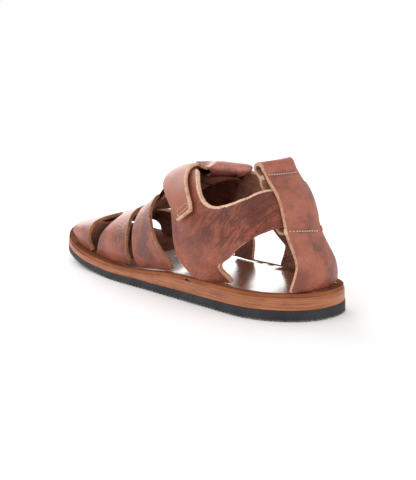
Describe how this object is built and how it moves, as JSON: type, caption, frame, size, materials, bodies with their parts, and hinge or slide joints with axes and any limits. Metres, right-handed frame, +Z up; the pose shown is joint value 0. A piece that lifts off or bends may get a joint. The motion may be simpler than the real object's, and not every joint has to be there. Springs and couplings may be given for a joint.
{
  "type": "fisherman sandal",
  "caption": "Left fisherman sandal with a three-band leather vamp, closed instep strap through a tongue loop, pull-loop back strap and layered leather and rubber sole.",
  "frame": {"origin": "middle of the bottom of the bounding box, on the ground under the sole", "axes": "+Y from heel to toe, +X to the inner (medial) side of this left shoe, +Z up"},
  "size_m": [0.0958, 0.2852, 0.1014],
  "materials": {
    "rubber": "dark grey, matt, crumbly cut edge",
    "sole_leather": "orange-tan cut edge of stacked sole leather, waxed",
    "footbed_leather": "glossy tan-brown",
    "upper_leather": "red-brown pull-up leather, soft sheen, raw edges",
    "hook_tape": "dark hook-and-loop tape"
  },
  "bodies": {
    "root": {"outsole": "rubber", "heel_lift": "sole_leather", "midsole": "sole_leather", "footbed": "footbed_leather", "vamp": "upper_leather", "outer_quarter": "upper_leather", "inner_quarter": "upper_leather", "tongue": "upper_leather", "closure_strap": "upper_leather", "back_strap": "upper_leather", "hook_patch": "hook_tape"}
  },
  "joints": []
}
